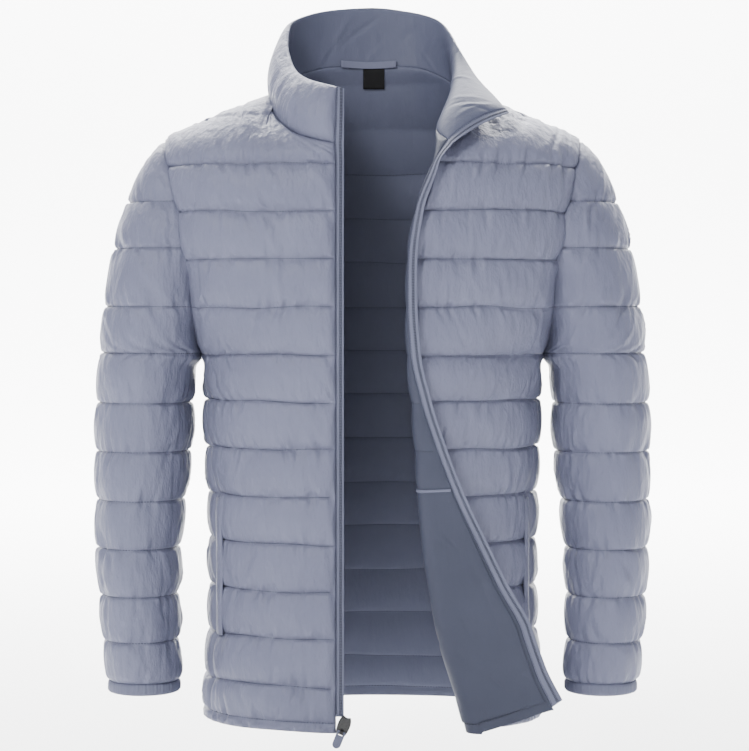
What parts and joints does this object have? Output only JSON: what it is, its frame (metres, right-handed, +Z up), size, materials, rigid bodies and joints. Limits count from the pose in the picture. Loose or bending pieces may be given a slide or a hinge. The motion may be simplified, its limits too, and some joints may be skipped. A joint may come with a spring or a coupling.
{
  "type": "puffer jacket",
  "caption": "Hip-length quilted jacket, filled out as if worn, with a stand collar and an open front zip whose left front rolls outwards to show the lining",
  "frame": {"origin": "at the base of the neck, midway between the shoulders, level with the right shoulder seam's neck end to about 1 cm", "axes": "+Z up, the jacket faces -Y, +X is the wearer's left"},
  "size_m": [0.6432, 0.2898, 0.8369],
  "materials": {
    "shell": "thin woven nylon with a soft sheen",
    "trim": "matt woven tape and binding",
    "lining": "smooth woven nylon",
    "label": "matt woven label, blank",
    "metal": "glossy black enamel"
  },
  "bodies": {
    "jacket": {"back": "shell", "front_right": "shell", "front_left": "shell", "sleeve_right": "shell", "cuff_right": "trim", "sleeve_left": "shell", "cuff_left": "trim", "collar": "shell", "zip_tape_right": "trim", "zip_tape_left": "trim", "pocket_welt_right": "trim", "pocket_welt_left": "trim", "inner_pocket": "lining", "hanger_loop": "trim", "neck_label": "label", "zip_slider": "metal", "zip_bridge": "metal"},
    "pull": {"zip_pull_tab": "trim"}
  },
  "joints": [
    {"name": "pull_tab_hinge", "type": "hinge", "parent": "jacket", "child": "pull", "pos_m": [-0.03403, -0.1476, -0.68976], "axis": [-0.9272, 0, 0.3746], "range_deg": [0, 150]}
  ]
}
